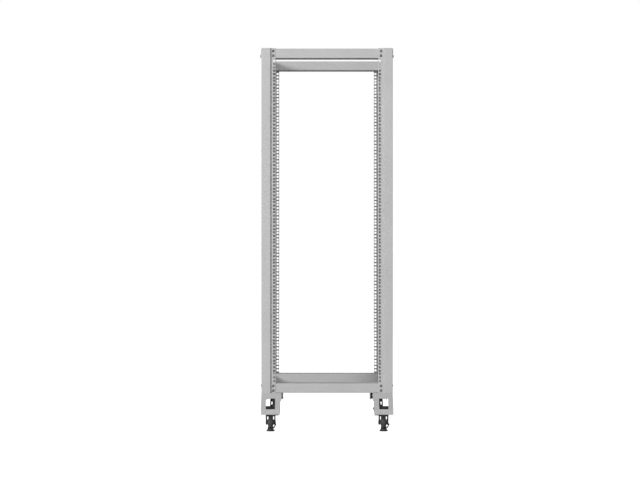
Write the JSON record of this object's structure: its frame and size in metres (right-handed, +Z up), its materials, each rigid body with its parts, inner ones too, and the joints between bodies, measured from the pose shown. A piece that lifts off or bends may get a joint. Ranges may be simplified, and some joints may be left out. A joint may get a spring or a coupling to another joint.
{
  "type": "network server rack",
  "caption": "Open four-post rack frame for 19-inch equipment, with square-hole rails, bolted beams, outrigger leg brackets and swivelling levelling casters with screw-down feet.",
  "frame": {"origin": "on the floor at the middle of the footprint", "axes": "+Z up, the front faces -Y, +X to the right seen from the front"},
  "size_m": [0.5892, 0.9126, 1.6804],
  "materials": {
    "frame_paint": "light grey powder coat, satin",
    "zinc_steel": "zinc plated steel",
    "dark_steel": "dark plated steel screws and nuts",
    "caster_body": "black painted die casting",
    "caster_metal": "black coated steel",
    "caster_nylon": "dark grey moulded nylon",
    "foot_rubber": "dark rubber",
    "knob_plastic": "black glossy plastic"
  },
  "bodies": {
    "frame": {"post_fl": "frame_paint", "post_fr": "frame_paint", "post_rl": "frame_paint", "post_rr": "frame_paint", "leg_bracket_fl": "frame_paint", "leg_bracket_fr": "frame_paint", "leg_bracket_rl": "frame_paint", "leg_bracket_rr": "frame_paint", "caster_plate_fl": "caster_metal", "caster_plate_fr": "caster_metal", "caster_plate_rl": "caster_metal", "caster_plate_rr": "caster_metal", "top_beam_front": "frame_paint", "top_beam_rear": "frame_paint", "bottom_beam_front": "frame_paint", "bottom_beam_rear": "frame_paint", "top_beam_left": "frame_paint", "top_beam_right": "frame_paint", "bottom_beam_left": "frame_paint", "bottom_beam_right": "frame_paint", "beam_bolts": "dark_steel", "beam_nuts": "dark_steel", "side_bolts": "dark_steel", "side_nuts": "dark_steel", "bracket_bolts": "dark_steel", "bracket_nuts": "dark_steel", "caster_bolts": "dark_steel", "nut_plates": "caster_metal"},
    "swivel_body_fl": {"caster_fork_fl": "caster_body", "caster_axle_fl": "zinc_steel"},
    "wheel_body_fl": {"caster_wheel_fl": "caster_nylon"},
    "foot_body_fl": {"foot_pad_fl": "foot_rubber"},
    "screw_body_fl": {"foot_stem_fl": "zinc_steel", "adjuster_ring_fl": "caster_nylon"},
    "lever_body_fl": {"ratchet_lever_fl": "caster_metal", "lever_knob_fl": "knob_plastic"},
    "swivel_body_fr": {"caster_fork_fr": "caster_body", "caster_axle_fr": "zinc_steel"},
    "wheel_body_fr": {"caster_wheel_fr": "caster_nylon"},
    "foot_body_fr": {"foot_pad_fr": "foot_rubber"},
    "screw_body_fr": {"foot_stem_fr": "zinc_steel", "adjuster_ring_fr": "caster_nylon"},
    "lever_body_fr": {"ratchet_lever_fr": "caster_metal", "lever_knob_fr": "knob_plastic"},
    "swivel_body_rl": {"caster_fork_rl": "caster_body", "caster_axle_rl": "zinc_steel"},
    "wheel_body_rl": {"caster_wheel_rl": "caster_nylon"},
    "foot_body_rl": {"foot_pad_rl": "foot_rubber"},
    "screw_body_rl": {"foot_stem_rl": "zinc_steel", "adjuster_ring_rl": "caster_nylon"},
    "lever_body_rl": {"ratchet_lever_rl": "caster_metal", "lever_knob_rl": "knob_plastic"},
    "swivel_body_rr": {"caster_fork_rr": "caster_body", "caster_axle_rr": "zinc_steel"},
    "wheel_body_rr": {"caster_wheel_rr": "caster_nylon"},
    "foot_body_rr": {"foot_pad_rr": "foot_rubber"},
    "screw_body_rr": {"foot_stem_rr": "zinc_steel", "adjuster_ring_rr": "caster_nylon"},
    "lever_body_rr": {"ratchet_lever_rr": "caster_metal", "lever_knob_rr": "knob_plastic"}
  },
  "joints": [
    {"name": "swivel_fl", "type": "hinge", "parent": "frame", "child": "swivel_body_fl", "pos_m": [-0.2474, -0.4093, 0.08], "axis": [0, 0, 1], "continuous": true},
    {"name": "wheel_roll_fl", "type": "hinge", "parent": "swivel_body_fl", "child": "wheel_body_fl", "pos_m": [-0.2474, -0.3623, 0.034], "axis": [1, 0, 0], "continuous": true},
    {"name": "foot_lift_fl", "type": "slide", "parent": "swivel_body_fl", "child": "foot_body_fl", "axis": [0, 0, 1], "range_m": [0, 0.008]},
    {"name": "foot_screw_fl", "type": "hinge", "parent": "foot_body_fl", "child": "screw_body_fl", "pos_m": [-0.2474, -0.4093, 0.02], "axis": [0, 0, 1], "range_deg": [0, 1440]},
    {"name": "ratchet_swing_fl", "type": "hinge", "parent": "foot_body_fl", "child": "lever_body_fl", "pos_m": [-0.2474, -0.4093, 0.014], "axis": [0, 0, 1], "range_deg": [-45, 10]},
    {"name": "swivel_fr", "type": "hinge", "parent": "frame", "child": "swivel_body_fr", "pos_m": [0.2474, -0.4093, 0.08], "axis": [0, 0, 1], "continuous": true},
    {"name": "wheel_roll_fr", "type": "hinge", "parent": "swivel_body_fr", "child": "wheel_body_fr", "pos_m": [0.2474, -0.3623, 0.034], "axis": [1, 0, 0], "continuous": true},
    {"name": "foot_lift_fr", "type": "slide", "parent": "swivel_body_fr", "child": "foot_body_fr", "axis": [0, 0, 1], "range_m": [0, 0.008]},
    {"name": "foot_screw_fr", "type": "hinge", "parent": "foot_body_fr", "child": "screw_body_fr", "pos_m": [0.2474, -0.4093, 0.02], "axis": [0, 0, 1], "range_deg": [0, 1440]},
    {"name": "ratchet_swing_fr", "type": "hinge", "parent": "foot_body_fr", "child": "lever_body_fr", "pos_m": [0.2474, -0.4093, 0.014], "axis": [0, 0, 1], "range_deg": [-45, 10]},
    {"name": "swivel_rl", "type": "hinge", "parent": "frame", "child": "swivel_body_rl", "pos_m": [-0.2474, 0.4093, 0.08], "axis": [0, 0, 1], "continuous": true},
    {"name": "wheel_roll_rl", "type": "hinge", "parent": "swivel_body_rl", "child": "wheel_body_rl", "pos_m": [-0.2474, 0.3623, 0.034], "axis": [1, 0, 0], "continuous": true},
    {"name": "foot_lift_rl", "type": "slide", "parent": "swivel_body_rl", "child": "foot_body_rl", "axis": [0, 0, 1], "range_m": [0, 0.008]},
    {"name": "foot_screw_rl", "type": "hinge", "parent": "foot_body_rl", "child": "screw_body_rl", "pos_m": [-0.2474, 0.4093, 0.02], "axis": [0, 0, 1], "range_deg": [0, 1440]},
    {"name": "ratchet_swing_rl", "type": "hinge", "parent": "foot_body_rl", "child": "lever_body_rl", "pos_m": [-0.2474, 0.4093, 0.014], "axis": [0, 0, 1], "range_deg": [-45, 10]},
    {"name": "swivel_rr", "type": "hinge", "parent": "frame", "child": "swivel_body_rr", "pos_m": [0.2474, 0.4093, 0.08], "axis": [0, 0, 1], "continuous": true},
    {"name": "wheel_roll_rr", "type": "hinge", "parent": "swivel_body_rr", "child": "wheel_body_rr", "pos_m": [0.2474, 0.3623, 0.034], "axis": [1, 0, 0], "continuous": true},
    {"name": "foot_lift_rr", "type": "slide", "parent": "swivel_body_rr", "child": "foot_body_rr", "axis": [0, 0, 1], "range_m": [0, 0.008]},
    {"name": "foot_screw_rr", "type": "hinge", "parent": "foot_body_rr", "child": "screw_body_rr", "pos_m": [0.2474, 0.4093, 0.02], "axis": [0, 0, 1], "range_deg": [0, 1440]},
    {"name": "ratchet_swing_rr", "type": "hinge", "parent": "foot_body_rr", "child": "lever_body_rr", "pos_m": [0.2474, 0.4093, 0.014], "axis": [0, 0, 1], "range_deg": [-45, 10]}
  ],
  "couplings": [
    {"joint": "foot_screw_fl", "follows": "foot_lift_fl", "rad_per_m": 3141.6},
    {"joint": "foot_screw_fr", "follows": "foot_lift_fr", "rad_per_m": 3141.6},
    {"joint": "foot_screw_rl", "follows": "foot_lift_rl", "rad_per_m": 3141.6},
    {"joint": "foot_screw_rr", "follows": "foot_lift_rr", "rad_per_m": 3141.6}
  ]
}
